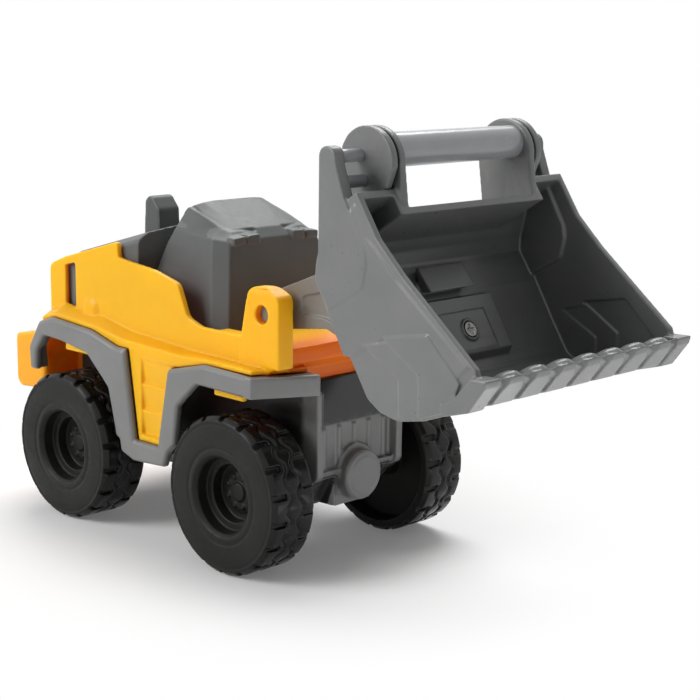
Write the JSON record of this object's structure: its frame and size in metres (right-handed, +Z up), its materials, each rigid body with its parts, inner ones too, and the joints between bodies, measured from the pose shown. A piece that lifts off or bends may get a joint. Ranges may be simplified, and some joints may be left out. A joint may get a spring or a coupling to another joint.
{
  "type": "toy front loader",
  "caption": "Moulded toy wheel loader with free-rolling axles, a lift arm on side towers and a tipping toothed bucket with a round carrying rod across its top.",
  "frame": {"origin": "on the floor, under the middle of the overall length and width, with the bucket raised as it rests", "axes": "+X forward to the bucket, +Y to the vehicle's left, +Z up"},
  "size_m": [0.26, 0.104, 0.1566],
  "materials": {
    "body_yellow": "smooth moulded ABS, low gloss",
    "counterweight_yellow": "smooth moulded ABS, slightly more orange",
    "frame_grey": "satin moulded plastic",
    "bucket_grey": "satin moulded plastic",
    "cab_grey": "satin dark grey moulded plastic",
    "grille_black": "satin black moulded plastic",
    "arm_grey": "satin warm grey moulded plastic",
    "rod_grey": "smoother blue-grey moulded plastic",
    "wheel_black": "hard black moulded plastic, glossier on the tread",
    "steel": "drawn steel rod"
  },
  "bodies": {
    "vehicle": {"chassis": "frame_grey", "fender_left": "frame_grey", "fender_right": "frame_grey", "body_shell": "body_yellow", "cab": "cab_grey", "engine_hood": "cab_grey", "rear_grille": "grille_black", "rear_counterweight": "counterweight_yellow", "body_screws": "steel"},
    "front_wheels": {"front_axle": "steel", "wheel_front_left": "wheel_black", "wheel_front_right": "wheel_black"},
    "rear_wheels": {"rear_axle": "steel", "wheel_rear_left": "wheel_black", "wheel_rear_right": "wheel_black"},
    "lift_arm_group": {"lift_arm": "arm_grey", "bucket_hinge_pin": "steel"},
    "bucket_group": {"bucket_shell": "bucket_grey", "ear_plate_left": "bucket_grey", "ear_plate_right": "bucket_grey", "handle_rod": "rod_grey", "cross_pins": "rod_grey", "hinge_block": "bucket_grey", "hinge_screw": "steel"}
  },
  "joints": [
    {"name": "front_axle_roll", "type": "hinge", "parent": "vehicle", "child": "front_wheels", "pos_m": [0.01, 0, 0.028], "axis": [0, 1, 0], "continuous": true},
    {"name": "rear_axle_roll", "type": "hinge", "parent": "vehicle", "child": "rear_wheels", "pos_m": [-0.082, 0, 0.028], "axis": [0, 1, 0], "continuous": true},
    {"name": "lift_arm_pivot", "type": "hinge", "parent": "vehicle", "child": "lift_arm_group", "pos_m": [0.0198, 0, 0.0913], "axis": [0, -1, 0], "range_deg": [-28, 35]},
    {"name": "bucket_tip", "type": "hinge", "parent": "lift_arm_group", "child": "bucket_group", "pos_m": [0.0635, 0, 0.088], "axis": [0, -1, 0], "range_deg": [-55, 15]}
  ]
}
